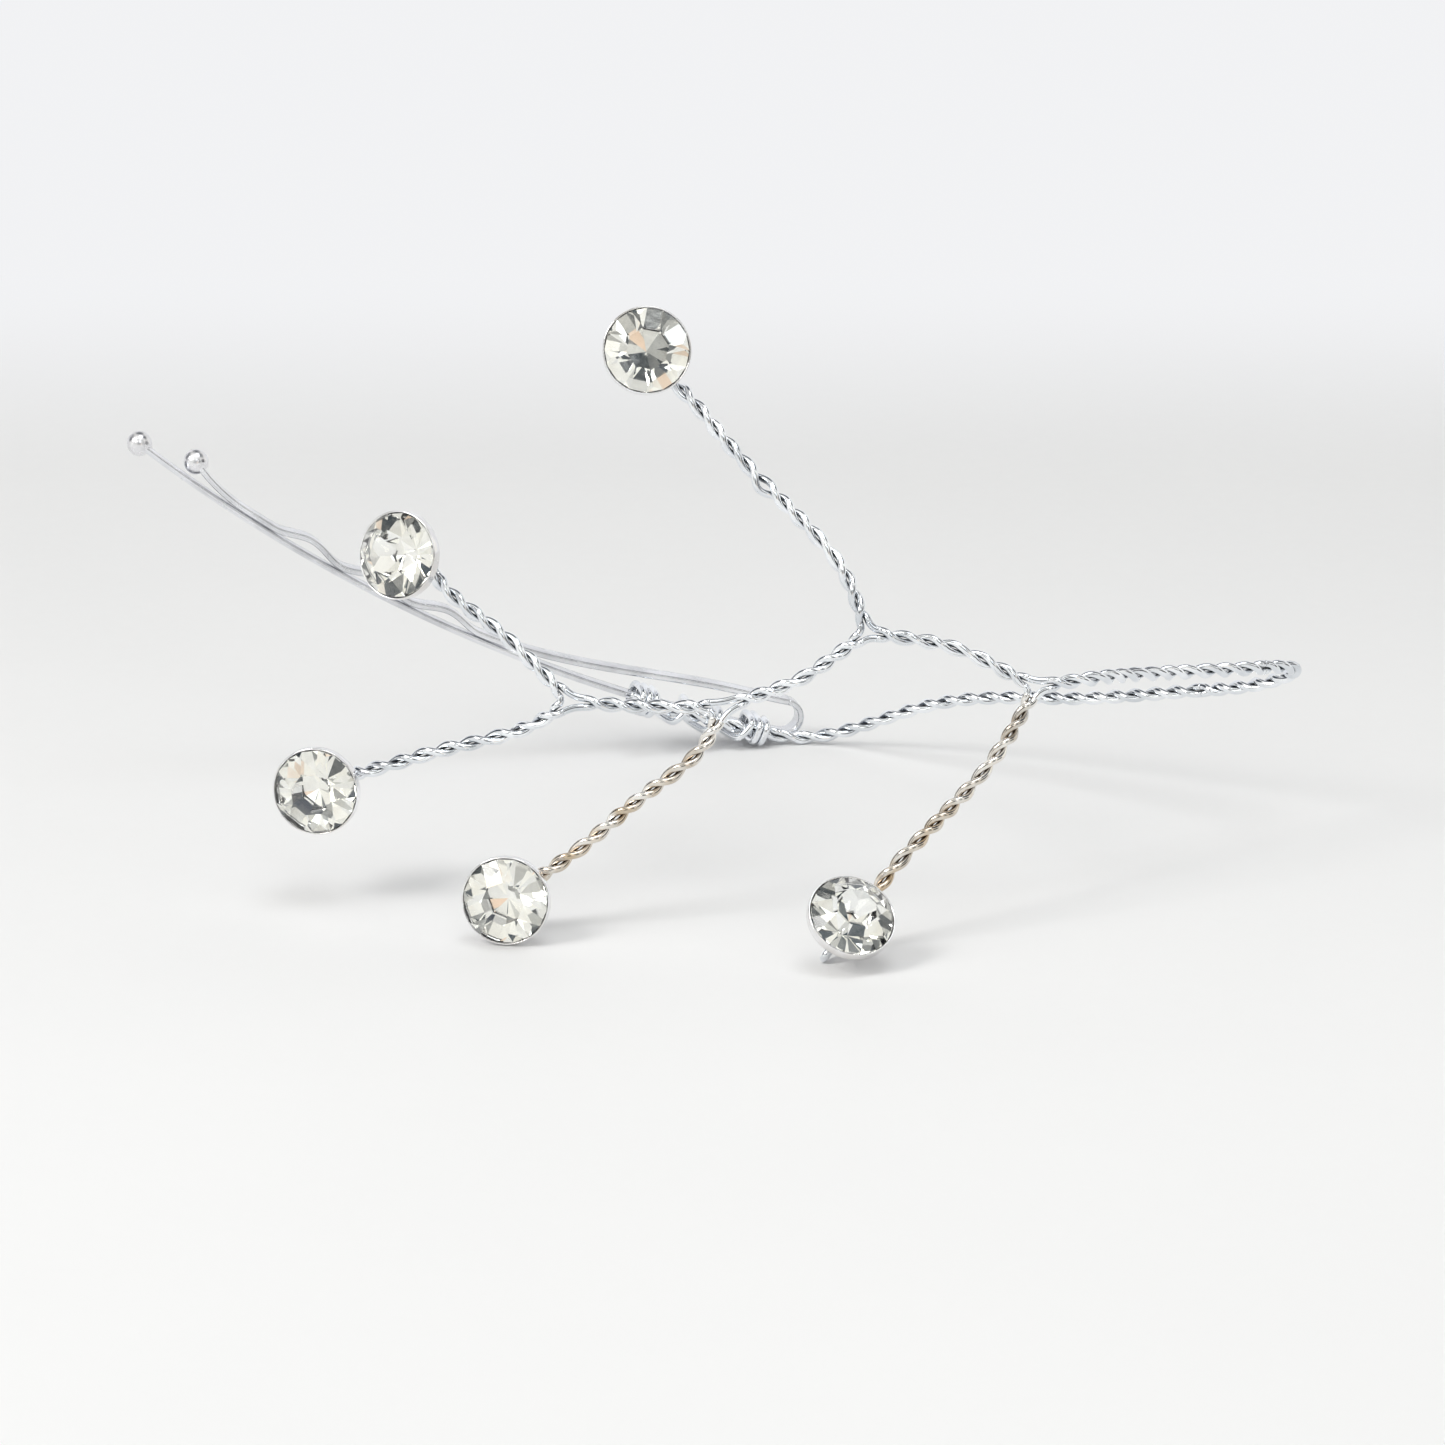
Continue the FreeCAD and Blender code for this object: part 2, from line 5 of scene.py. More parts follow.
import bmesh
import bpy
import numpy as np
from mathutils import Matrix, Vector


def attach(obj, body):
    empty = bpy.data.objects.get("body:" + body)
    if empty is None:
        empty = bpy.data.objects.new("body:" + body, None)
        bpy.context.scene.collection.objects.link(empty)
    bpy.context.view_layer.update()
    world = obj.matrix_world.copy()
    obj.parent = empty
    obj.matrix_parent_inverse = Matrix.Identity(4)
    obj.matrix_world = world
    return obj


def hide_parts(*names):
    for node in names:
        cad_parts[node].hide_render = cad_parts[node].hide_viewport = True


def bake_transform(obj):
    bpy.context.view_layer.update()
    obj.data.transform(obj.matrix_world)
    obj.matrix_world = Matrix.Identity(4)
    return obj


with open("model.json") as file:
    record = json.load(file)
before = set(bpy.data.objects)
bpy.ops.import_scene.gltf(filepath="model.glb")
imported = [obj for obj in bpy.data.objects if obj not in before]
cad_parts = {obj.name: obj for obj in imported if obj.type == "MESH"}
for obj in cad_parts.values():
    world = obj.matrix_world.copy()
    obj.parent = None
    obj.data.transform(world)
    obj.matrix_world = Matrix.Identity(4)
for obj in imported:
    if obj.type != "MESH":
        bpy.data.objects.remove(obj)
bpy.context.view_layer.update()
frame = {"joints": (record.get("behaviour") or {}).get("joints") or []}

MM = 0.001

# ---------------------------------------------------------------- dimensions, mm and degrees
# The twisted wire
STRAND_RADIUS = 0.21
STRAND_OFFSET = 0.213        # from a pair's axis to each strand's centre
TWIST_PITCH = 2.8
EASE_LENGTH = 0.6            # where the twist starts and stops
END_TWIST = 0.9              # extra turn, in radians, where a run leaves its junction
END_LENGTH = 1.1
SAMPLES_PER_MM = 14
UNEVEN_ENDS = 2.0            # each end of a run that stays even
UNEVEN_PHASE = 0.34          # radians
UNEVEN_STRAND = 0.08         # radians
UNEVEN_OFFSET = 0.022
GROOVE_DEPTH = 0.09          # this near to the pair's axis the painted shade on a strand is darkest
GROOVE_EDGE = 0.15           # and the painted shade is gone this much further out

# The junctions' open eyes
FOOT_OFFSET = 0.25
EYE_TURN = 0.17

# The stones
STONE_RADIUS = 2.36
TABLE_RADIUS = 1.2
GIRDLE_TOP = 0.05
GIRDLE_BOTTOM = -0.08
CROWN_TOP = 0.95
PAVILION_TIP = -2.0
PAVILION_BREAK = 0.72
STONE_SIDES = 16

# The cups and the tunnels on their backs
CUP_RADIUS = 2.48
CUP_WALL = 0.1
CUP_SEGMENTS = 96
CUP_FILLET = 0.12
SHOULDER = 0.1               # how far the cup's shoulder is rounded in from its skirt
LIP_RADIUS = 0.05
LIP_TOP = 0.03
WALL_BOTTOM = -0.55
BASE_Z = -2.18
BASE_RADIUS = 1.05
BASE_EYELET = 0.02
TUNNEL_BORE = 0.25
TUNNEL_RADIUS = 0.38
TUNNEL_CHAMFER = 0.02
TUNNEL_CHAMFER_LENGTH = 0.03
TUNNEL_LENGTH = 2.0
TUNNEL_Z = -2.49
TUNNEL_SIDES = 28
LEAD_LENGTH = 0.2            # straight wire past each end of a tunnel
LOOP_CLEARANCE = 0.02

# The hair pin
STRIP_THICKNESS = 0.36
STRIP_WIDTH = 1.25
STRIP_CORNER = 0.12
BOW_RADIUS = 100.0
FIXED_LEG_LENGTH = 44.2
SPRING_LEG_LENGTH = 40.8
HEAD_RADIUS = 1.0
LEG_GAP = 0.06
CLOSING_START = 3.0
CLOSING_END = 20.0
WAVE_END = 34.4
WAVE_COUNT = 3
WAVE_HEIGHT = 0.5
FLARE_START = 36.5
FLARE_RISE = 0.75
BEAD_RADIUS = 0.74
BEAD_SETBACK = 0.2
BEAD_DENT = 0.012

# The wraps that bind the sprig's tail to the pin
WRAP_CLEARANCE = 0.03
WRAP_PLACES = [1.3, 1.76, 2.22, 4.3, 6.4, 8.5, 8.96, 9.42]
WRAP_STEPS = 64
TAIL_START = 0.4
TAIL_END = 10.0
TAIL_GAP = 0.05


def V(*c):
    return np.array(c, float)


PITCH = math.radians(17)      # the camera looks down by this angle
FACING = V(0, -math.cos(PITCH), math.sin(PITCH))
RISING = V(0, math.sin(PITCH), math.cos(PITCH))
ACROSS = V(1, 0, 0)
UP = V(0, 0, 1)


def unit(v):
    return v / np.linalg.norm(v)


def square_to(v, axis):
    return unit(v - axis * v.dot(axis))


# ---------------------------------------------------------------- places, mm
NORMAL = unit(V(0, -0.94, 0.34))     # the face of every eye
JUNCTIONS = {
    "a": V(-8.4, 1.3, 12.2),
    "b": V(0.1, 0.3, 12.2),
    "c": V(8.1, 1.4, 16.2),
    "d": V(17.5, 1.6, 13.0),
}
STEM_RUNS = {
    "a_b": ("a", [V(-4.3, 0.8, 12.1)], "b"),
    "b_c": ("b", [V(4.3, 0.7, 13.7)], "c"),
    "c_d": ("c", [V(12.9, 1.7, 15.2)], "d"),
}
ELBOW = V(31.0, 12.4, 10.9)
ELBOW_RUN = [V(24.0, 6.9, 12.15)]
TURN_POINTS = [V(32.93, 14.7, 10.1), V(31.6, 17.5, 8.5)]
RETURN_START = V(28.0, 20.2, 7.2)
RETURN_POINTS = [V(20.6, 25.2, 5.2), V(12.4, 29.6, 3.45)]
PIN_HEAD = V(3.4, 33.6, 0.58)
PIN_CHORD_END = V(-34.3, 24.3, 21.2)

# Each branch: its junction, the points on its way, its stone's girdle centre, and how many
# degrees the stone faces to the right of the camera and above it
BRANCHES = {
    "top": (
        "c", [V(6.9, 2.7, 19.0), V(3.8, 4.2, 22.5), V(0.0, 6.0, 26.2), V(-2.2, 7.2, 28.5)],
        V(-4.2, 6.0, 31.2), 3, 3),
    "upper_left": (
        "a", [V(-12.7, 2.9, 16.0), V(-15.9, 4.2, 18.5)],
        V(-18.1, 2.7, 20.3), -30, 0),
    "lower_left": (
        "a", [V(-10.2, 1.6, 11.0), V(-15.3, 2.6, 9.1), V(-20.3, 3.9, 7.3)],
        V(-22.8, 1.8, 6.8), -12, -12),
    "front_left": (
        "b", [V(-0.9, -0.3, 10.4), V(-4.0, -1.1, 7.8), V(-7.4, -1.9, 5.1), V(-9.7, -2.4, 3.5)],
        V(-12.0, -5.0, 2.615), -9, -9),
    "front_right": (
        "d", [V(16.1, 0.2, 10.8), V(12.6, -2.6, 7.2), V(9.0, -5.0, 3.95)],
        V(7.1, -9.0, 3.1), 15, 30),
}

# Where one strand has come loose: distance along the run, half its length, and how far it moves
BOWS = {"top": [(9.9, 0.7, (ACROSS * -0.8 - RISING * 0.6) * 0.26)]}

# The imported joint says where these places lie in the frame
JOINTS = {j["name"]: j for j in frame["joints"]}
SHIFT = np.array(JOINTS["sprig_swing"]["pos_m"]) / MM - ELBOW


# ---------------------------------------------------------------- curves
def smooth_step(x):
    """0 below 0, 1 above 1, and an even slope between."""
    x = np.clip(x, 0.0, 1.0)
    return x * x * (3 - 2 * x)


def clamped_spline(points, start_tangent, end_tangent, per_mm=SAMPLES_PER_MM):
    """A smooth curve through points, evenly sampled by length: (lengths, places, tangents)."""
    p = np.array(points)
    t = np.concatenate([[0], np.cumsum(np.linalg.norm(np.diff(p, axis=0), axis=1))])
    n = len(p)
    a = np.zeros((n, n))
    b = np.zeros((n, 3))
    a[0, 0] = a[-1, -1] = 1
    b[0], b[-1] = start_tangent, end_tangent
    for i in range(1, n - 1):
        h0, h1 = t[i] - t[i - 1], t[i + 1] - t[i]
        a[i, i - 1], a[i, i], a[i, i + 1] = h1, 2 * (h0 + h1), h0
        b[i] = 3 * (h1 * (p[i] - p[i - 1]) / h0 + h0 * (p[i + 1] - p[i]) / h1)
    m = np.linalg.solve(a, b)
    fine = []
    for i in range(n - 1):
        h = t[i + 1] - t[i]
        u = np.linspace(0, 1, 400, endpoint=i == n - 2)[:, None]
        fine.append((2 * u ** 3 - 3 * u ** 2 + 1) * p[i] + (u ** 3 - 2 * u ** 2 + u) * h * m[i]
                    + (3 * u ** 2 - 2 * u ** 3) * p[i + 1] + (u ** 3 - u ** 2) * h * m[i + 1])
    fine = np.concatenate(fine)
    run = np.concatenate([[0], np.cumsum(np.linalg.norm(np.diff(fine, axis=0), axis=1))])
    count = max(12, int(run[-1] * per_mm))
    s = np.linspace(0, run[-1], count + 1)
    places = np.stack([np.interp(s, run, fine[:, k]) for k in range(3)], axis=1)
    tangents = np.gradient(places, s, axis=0)
    tangents /= np.linalg.norm(tangents, axis=1)[:, None]
    tangents[0], tangents[-1] = start_tangent, end_tangent
    return s, places, tangents


def carried_sides(tangents, side):
    """A side direction at each sample, turned no more than the curve makes it."""
    sides = []
    for tangent in tangents:
        side = square_to(side, tangent)
        sides.append(side)
    return np.array(sides)


def wander(s, seed, wavelength):
    """A smooth uneven wave along s, from -1 to 1, and the same each time for one seed."""
    rng = random.Random(seed)
    waves = 4
    value = np.zeros_like(s)
    for k in range(waves):
        value += np.sin(2 * math.pi * s / (wavelength * rng.uniform(0.6, 1.7)) + rng.uniform(0, 6.3))
    return value / waves


class StrandPair(list):
    """The strands' centrelines, with the axis that they are wound round."""

    def __init__(self, axis):
        super().__init__()
        self.axis = axis


def eased_length(s, length):
    """The length over which the twist has run at s: it starts and stops gently."""
    x0 = np.clip(s / EASE_LENGTH, 0, 1)
    x1 = np.clip((length - s) / EASE_LENGTH, 0, 1)
    eased = np.where(s < EASE_LENGTH, EASE_LENGTH * (x0 ** 3 - x0 ** 4 / 2), s - EASE_LENGTH / 2)
    late = length - EASE_LENGTH - EASE_LENGTH * (x1 ** 3 - x1 ** 4 / 2)
    return np.where(s > length - EASE_LENGTH, late, eased)


def pair_lines(curve, start_side, end_side, start_offset, end_offset, seed, uneven=1.0, bows=(),
               end_twist=END_TWIST):
    """The centrelines of two strands wound round a curve, a little uneven as hand-twisted wire is."""
    s, places, tangents = curve
    length = s[-1]
    wound = length - EASE_LENGTH
    sides = carried_sides(tangents, start_side)
    around = np.cross(tangents, sides)
    finish = square_to(end_side, tangents[-1])
    closing = math.atan2(tangents[-1].dot(np.cross(sides[-1], finish)), sides[-1].dot(finish))
    closing -= 2 * end_twist
    total = closing + math.pi * round(wound * 2 / TWIST_PITCH - closing / math.pi)
    window = uneven * smooth_step(s / UNEVEN_ENDS) * smooth_step((length - s) / UNEVEN_ENDS)
    phase = total * eased_length(s, length) / wound + UNEVEN_PHASE * window * wander(s, seed, 5.5)
    phase = phase + end_twist * smooth_step(s / END_LENGTH)
    phase = phase + end_twist * smooth_step((s - length + END_LENGTH) / END_LENGTH)
    lines = StrandPair(places)
    for k, start_phase in enumerate((0.0, math.pi)):
        offset = STRAND_OFFSET + (start_offset - STRAND_OFFSET) * (1 - smooth_step(s / EASE_LENGTH))
        offset = offset + (end_offset - STRAND_OFFSET) * (1 - smooth_step((length - s) / EASE_LENGTH))
        offset = offset + UNEVEN_OFFSET * window * (1 + wander(s, seed + 7 * k + 1, 3.1))
        angle = phase + start_phase + UNEVEN_STRAND * window * wander(s, seed + 31 + k, 2.3)
        line = places + sides * (offset * np.cos(angle))[:, None] + around * (offset * np.sin(angle))[:, None]
        for centre, half_width, move in bows:
            if (line - places)[int(centre / length * len(s))].dot(move) > 0:
                line = line + np.exp(-((s - centre) / half_width) ** 2)[:, None] * move
        lines.append(line)
    return lines


# ---------------------------------------------------------------- meshes
def new_object(name, verts, faces):
    """A smooth-shaded mesh in metres."""
    mesh = bpy.data.meshes.new(name)
    mesh.from_pydata([tuple(v) for v in np.asarray(verts)], [], faces)
    mesh.validate()
    mesh.update()
    mesh.shade_smooth()
    obj = bpy.data.objects.new(name, mesh)
    bpy.context.scene.collection.objects.link(obj)
    return obj


def swept(lines, section, normals=None):
    """Closed tubes along lines in mm; section gives each ring's (x, y) shape."""
    verts, faces = [], []
    for number, line in enumerate(lines):
        line = np.asarray(line)
        tangent = np.gradient(line, axis=0)
        tangent /= np.linalg.norm(tangent, axis=1)[:, None]
        if normals is None:
            guess = V(0.3, 0.8, 0.52)
            guess = guess if abs(unit(guess).dot(tangent[0])) < 0.9 else V(0.9, 0.1, 0.1)
            side = carried_sides(tangent, guess)
        else:
            side = np.array([square_to(n, t) for n, t in zip(normals[number], tangent)])
        up = np.cross(tangent, side)
        shape = section(len(line))
        ring = shape.shape[1]
        base = len(verts)
        for i in range(len(line)):
            x, y = shape[i, :, 0:1], shape[i, :, 1:2]
            verts.extend(line[i] + side[i] * x + up[i] * y)
        for i in range(len(line) - 1):
            for j in range(ring):
                k = (j + 1) % ring
                a = base + i * ring
                faces.append((a + j, a + k, a + ring + k, a + ring + j))
        faces.append(tuple(base + j for j in reversed(range(ring))))
        faces.append(tuple(base + (len(line) - 1) * ring + j for j in range(ring)))
    return np.array(verts), faces


def round_section(radius, seed, sides=18):
    """A circle that draws in a little here and there, as soft wire does."""
    angles = np.arange(sides) * 2 * math.pi / sides
    circle = np.stack([np.cos(angles), np.sin(angles)], axis=1) * radius

    def section(count):
        s = np.arange(count) / SAMPLES_PER_MM
        swell = 1 + 0.012 * wander(s, seed, 4.0)
        swell[0] = swell[-1] = 1
        return circle[None] * np.minimum(swell, 1.0)[:, None, None]
    return section


def strip_section(width, thickness, corner, steps=4):
    """A flat strip with rounded edges: x across its thickness, y across its width."""
    points = []
    for cx, cy, start in ((1, 1, 0), (-1, 1, 90), (-1, -1, 180), (1, -1, 270)):
        for k in range(steps + 1):
            a = math.radians(start + 90 * k / steps)
            points.append((cx * (thickness / 2 - corner) + corner * math.cos(a),
                           cy * (width / 2 - corner) + corner * math.sin(a)))
    shape = np.array(points)
    return lambda count: np.repeat(shape[None], count, axis=0)


def groove_depths(lines, verts):
    """How deep each point lies between the two strands: 1 at their contact, 0 outside."""
    groove = np.zeros(len(verts))
    rings = len(verts) // 2
    axis = np.repeat(lines.axis, rings // len(lines.axis), axis=0)
    for k in range(2):
        strand = slice(k * rings, (k + 1) * rings)
        away = np.linalg.norm(verts[strand] - axis, axis=1)
        groove[strand] = 1 - smooth_step((away - GROOVE_DEPTH) / GROOVE_EDGE)
    return groove


def tube_object(name, lines, section, material, normals=None):
    verts, faces = swept(lines, section, normals)
    obj = new_object(name, (verts + SHIFT) * MM, faces)
    # the groove attribute masks the painted shade between the two strands
    groove = groove_depths(lines, verts) if isinstance(lines, StrandPair) else np.zeros(len(verts))
    attribute = obj.data.attributes.new("groove", "FLOAT", "POINT")
    attribute.data.foreach_set("value", groove.astype(np.float32))
    obj.data.materials.append(material)
    return obj


# ---------------------------------------------------------------- materials
class Shader:
    """A small helper for building node materials."""

    def __init__(self, name):
        self.material = bpy.data.materials.new(name)
        self.material.use_nodes = True
        self.tree = self.material.node_tree
        self.tree.nodes.clear()
        self.out = self.add("ShaderNodeOutputMaterial")

    def add(self, kind, **values):
        node = self.tree.nodes.new(kind)
        for key, value in values.items():
            setattr(node, key, value)
        return node

    def link(self, source, target):
        self.tree.links.new(source, target)

    def position(self):
        return self.add("ShaderNodeTexCoord").outputs["Object"]

    def noise(self, vector, scale, detail=3.0, roughness=0.5):
        node = self.add("ShaderNodeTexNoise")
        node.inputs["Scale"].default_value = scale
        node.inputs["Detail"].default_value = detail
        node.inputs["Roughness"].default_value = roughness
        self.link(vector, node.inputs["Vector"])
        return node.outputs["Fac"]

    def ramp(self, factor, stops):
        node = self.add("ShaderNodeValToRGB")
        elements = node.color_ramp.elements
        while len(elements) < len(stops):
            elements.new(0.5)
        for element, (place, colour) in zip(elements, stops):
            element.position = place
            element.color = (*colour, 1)
        self.link(factor, node.inputs["Fac"])
        return node.outputs["Color"]

    def span(self, factor, low, high, new_low, new_high, soft=False):
        node = self.add("ShaderNodeMapRange")
        if soft:
            node.interpolation_type = "SMOOTHSTEP"
        node.inputs["From Min"].default_value = low
        node.inputs["From Max"].default_value = high
        node.inputs["To Min"].default_value = new_low
        node.inputs["To Max"].default_value = new_high
        self.link(factor, node.inputs["Value"])
        return node.outputs["Result"]

    def mix(self, factor, first, second):
        node = self.add("ShaderNodeMix", data_type="RGBA")
        self.link(factor, node.inputs["Factor"])
        for socket, value in ((node.inputs[6], first), (node.inputs[7], second)):
            if isinstance(value, tuple):
                socket.default_value = (*value, 1)
            else:
                self.link(value, socket)
        return node.outputs[2]

    def bump(self, height, strength, distance):
        node = self.add("ShaderNodeBump")
        node.inputs["Strength"].default_value = strength
        node.inputs["Distance"].default_value = distance
        self.link(height, node.inputs["Height"])
        return node.outputs["Normal"]


WARM_REFLECTION_BOTTOM = 2.0            # the painted warm reflection is full at this height and gone at the next
WARM_REFLECTION_TOP = 12.0


def metal(name, light, dark, rough_low, rough_high, grain=(1, 1, 1), warm_reflection=None, groove_shade=None):
    """Plated metal: patchy tone and roughness, fine grain, a painted warm reflection low down, painted shade
    in the grooves.
    """
    sh = Shader(name)
    where = sh.position()
    stretch = sh.add("ShaderNodeMapping")
    stretch.inputs["Scale"].default_value = grain
    sh.link(where, stretch.inputs["Vector"])
    broad = sh.noise(where, 420, 4)
    fine = sh.noise(stretch.outputs["Vector"], 5200, 3)
    colour = sh.ramp(broad, [(0.30, dark), (0.62, light)])
    # painted reflection: a warm tint low down stands in for the warm surroundings seen in the wire near the
    # floor
    if warm_reflection:
        split = sh.add("ShaderNodeSeparateXYZ")
        sh.link(where, split.inputs[0])
        height = sh.span(split.outputs["Z"], WARM_REFLECTION_BOTTOM * MM, WARM_REFLECTION_TOP * MM, 1, 0)
        patch = sh.add("ShaderNodeMath", operation="MULTIPLY")
        sh.link(height, patch.inputs[0])
        sh.link(sh.span(sh.noise(where, 700, 3), 0.36, 0.62, 0.1, 1), patch.inputs[1])
        colour = sh.mix(patch.outputs[0], colour, warm_reflection)
    # painted shade: the grooves between the strands are darkened, most where the strands touch
    if groove_shade:
        groove = sh.add("ShaderNodeAttribute")
        groove.attribute_name = "groove"
        depth = sh.add("ShaderNodeMath", operation="MULTIPLY")
        sh.link(groove.outputs["Fac"], depth.inputs[0])
        sh.link(sh.span(sh.noise(where, 900, 3), 0.3, 0.65, 0.55, 1), depth.inputs[1])
        colour = sh.mix(depth.outputs[0], colour, groove_shade)
    shader = sh.add("ShaderNodeBsdfPrincipled")
    shader.inputs["Metallic"].default_value = 1.0
    sh.link(colour, shader.inputs["Base Color"])
    rough = sh.span(sh.noise(where, 1500, 4), 0.3, 0.7, rough_low, rough_high)
    sh.link(rough, shader.inputs["Roughness"])
    sh.link(sh.bump(fine, 0.35, 0.00001), shader.inputs["Normal"])
    sh.link(shader.outputs[0], sh.out.inputs["Surface"])
    return sh.material


# each wire's last colour darkens the grooves between strands as painted shade; the low wire's brown tones and
# warm tint are a painted warm reflection of the surroundings near the floor
WIRE = metal("silver_wire", (0.95, 0.97, 1.0), (0.66, 0.69, 0.73), 0.06, 0.16, groove_shade=(0.09, 0.10, 0.11))
WIRE_PAINTED_WARM = metal("silver_wire_painted_warm", (0.97, 0.97, 0.96), (0.46, 0.40, 0.33), 0.06, 0.16,
                 warm_reflection=(0.56, 0.41, 0.24), groove_shade=(0.11, 0.07, 0.035))
CUP = metal("cup_silver", (0.94, 0.94, 0.96), (0.72, 0.70, 0.68), 0.06, 0.2)
PIN_METAL = metal("pin_steel", (0.86, 0.87, 0.90), (0.62, 0.63, 0.66), 0.16, 0.3, grain=(0.05, 1, 1))
BEAD_METAL = metal("bead_steel", (0.86, 0.86, 0.88), (0.66, 0.66, 0.68), 0.22, 0.38)


def glass():
    """Clear crystal with a faint cool and warm drift."""
    sh = Shader("stone_crystal")
    where = sh.position()
    shader = sh.add("ShaderNodeBsdfPrincipled")
    shader.inputs["Transmission Weight"].default_value = 1.0
    shader.inputs["IOR"].default_value = 1.58
    tint = sh.ramp(sh.noise(where, 300, 2), [(0.3, (0.97, 0.985, 1.0)), (0.7, (1.0, 1.0, 0.99))])
    sh.link(tint, shader.inputs["Base Color"])
    sh.link(sh.span(sh.noise(where, 2600, 4), 0.35, 0.75, 0.0, 0.035), shader.inputs["Roughness"])
    sh.link(sh.bump(sh.noise(where, 1800, 2), 0.06, 0.00001), shader.inputs["Normal"])
    sh.link(shader.outputs[0], sh.out.inputs["Surface"])
    return sh.material


def foil():
    """The mirror backing of the stones' lower facets."""
    sh = Shader("stone_foil")
    where = sh.position()
    shader = sh.add("ShaderNodeBsdfPrincipled")
    shader.inputs["Metallic"].default_value = 1.0
    tint = sh.ramp(sh.noise(where, 500, 3), [(0.3, (0.93, 0.92, 0.88)), (0.65, (0.99, 0.99, 0.97))])
    sh.link(tint, shader.inputs["Base Color"])
    sh.link(sh.span(sh.noise(where, 2400, 4), 0.35, 0.75, 0.02, 0.09), shader.inputs["Roughness"])
    sh.link(sh.bump(sh.noise(where, 1500, 2), 0.08, 0.00001), shader.inputs["Normal"])
    sh.link(shader.outputs[0], sh.out.inputs["Surface"])
    return sh.material


GLASS = glass()
FOIL = foil()


# ---------------------------------------------------------------- the wire sprig
def junction_spokes():
    """The runs that leave each junction, in order round its eye."""
    spokes = {name: [] for name in JUNCTIONS}
    for run, (first, between, second) in STEM_RUNS.items():
        spokes[first].append((run, unit(between[0] - JUNCTIONS[first])))
        spokes[second].append((run, unit(between[-1] - JUNCTIONS[second])))
    spokes["d"].append(("d_e", unit(ELBOW_RUN[0] - JUNCTIONS["d"])))
    for name, (junction, points, _, _, _) in BRANCHES.items():
        spokes[junction].append((name, unit(points[0] - JUNCTIONS[junction])))
    level = square_to(ACROSS, NORMAL)
    rise = np.cross(NORMAL, level)
    ordered = {}
    for name, runs in spokes.items():
        flat = [(run, square_to(heading, NORMAL)) for run, heading in runs]
        flat.sort(key=lambda item: math.atan2(item[1].dot(rise), item[1].dot(level)))
        ordered[name] = flat
    return ordered


SPOKES = junction_spokes()


def foot(junction, run):
    """Where a run leaves its junction's eye: the place, its heading and its side."""
    spokes = SPOKES[junction]
    angles = [math.acos(h.dot(spokes[(i + 1) % len(spokes)][1])) for i, (_, h) in enumerate(spokes)]
    reach = (EYE_TURN + FOOT_OFFSET) / math.sin(min(angles) / 2)
    heading = dict(spokes)[run]
    return JUNCTIONS[junction] + heading * reach, heading, np.cross(NORMAL, heading)


def eye_lines(junction):
    """Each strand passes round the eye from one run to the next."""
    spokes = SPOKES[junction]
    lines = []
    for index, (run, _) in enumerate(spokes):
        follower = spokes[(index + 1) % len(spokes)][0]
        place, heading, side = foot(junction, run)
        next_place, next_heading, next_side = foot(junction, follower)
        start = place + side * FOOT_OFFSET
        end = next_place - next_side * FOOT_OFFSET
        lines.append(clamped_spline([start, end], -heading, next_heading, per_mm=22)[1])
    return lines


def wire_object(name, lines, seed, node, material=WIRE):
    obj = tube_object(name, lines, round_section(STRAND_RADIUS, seed), material)
    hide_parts(node)
    return obj


def stem():
    """The four runs of the stem and the four eyes between them."""
    for number, (run, (first, between, second)) in enumerate(STEM_RUNS.items()):
        start, start_heading, start_side = foot(first, run)
        end, end_heading, end_side = foot(second, run)
        curve = clamped_spline([start] + between + [end], start_heading, -end_heading)
        lines = pair_lines(curve, start_side, end_side, FOOT_OFFSET, FOOT_OFFSET, 11 + number)
        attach(wire_object("wire_stem_" + run, lines, 40 + number, "stem_" + run), "sprig_stem")
    start, heading, side = foot("d", "d_e")
    curve = clamped_spline([start] + ELBOW_RUN + [ELBOW], heading, INTO_ELBOW)
    lines = pair_lines(curve, side, UP, FOOT_OFFSET, STRAND_OFFSET, 21)
    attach(wire_object("wire_stem_d_e", lines, 51, "stem_d_e"), "sprig_stem")
    for number, junction in enumerate(JUNCTIONS):
        node = "junction_" + junction + "_eye"
        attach(wire_object("wire_eye_" + junction, eye_lines(junction), 60 + number, node), "sprig_stem")


def turn():
    """The U-turn, where the sprig swings, baked into world place with no parent."""
    curve = clamped_spline([ELBOW] + TURN_POINTS + [RETURN_START], INTO_ELBOW, RETURN_HEADING)
    lines = pair_lines(curve, UP, UP, STRAND_OFFSET, STRAND_OFFSET, 22, uneven=0.0)
    obj = wire_object("wire_turn", lines, 52, "sprig_elbow_turn")
    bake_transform(obj)


INTO_ELBOW = unit(ELBOW - ELBOW_RUN[0])
RETURN_HEADING = unit(RETURN_POINTS[0] - RETURN_START)
stem()
turn()


# ---------------------------------------------------------------- the wire on the pin
class Pin:
    """The bowed line of the pin's fixed leg, and places measured along it from the head."""

    def __init__(self):
        chord = PIN_CHORD_END - PIN_HEAD
        self.ahead = unit(chord)
        self.across = -unit(np.cross(UP, self.ahead))
        self.above = -np.cross(self.ahead, self.across)
        if self.above[2] < 0:
            self.above = -self.above
        self.lean = math.asin(np.linalg.norm(chord) / 2 / BOW_RADIUS)

    def point(self, s, height, width=0.0):
        angle = s / BOW_RADIUS - self.lean
        radius = BOW_RADIUS - height
        along = BOW_RADIUS * math.sin(self.lean) + radius * math.sin(angle)
        rise = BOW_RADIUS * math.cos(self.lean) - radius * math.cos(angle)
        return PIN_HEAD + self.ahead * along + self.above * rise + self.across * width

    def heading(self, s):
        angle = s / BOW_RADIUS - self.lean
        return self.ahead * math.cos(angle) + self.above * math.sin(angle)

    def rising(self, s):
        return unit(self.point(s, 1) - self.point(s, 0))


PIN = Pin()
TAIL_WIDTH = -(STRIP_WIDTH / 2 + TAIL_GAP + STRAND_OFFSET + STRAND_RADIUS)


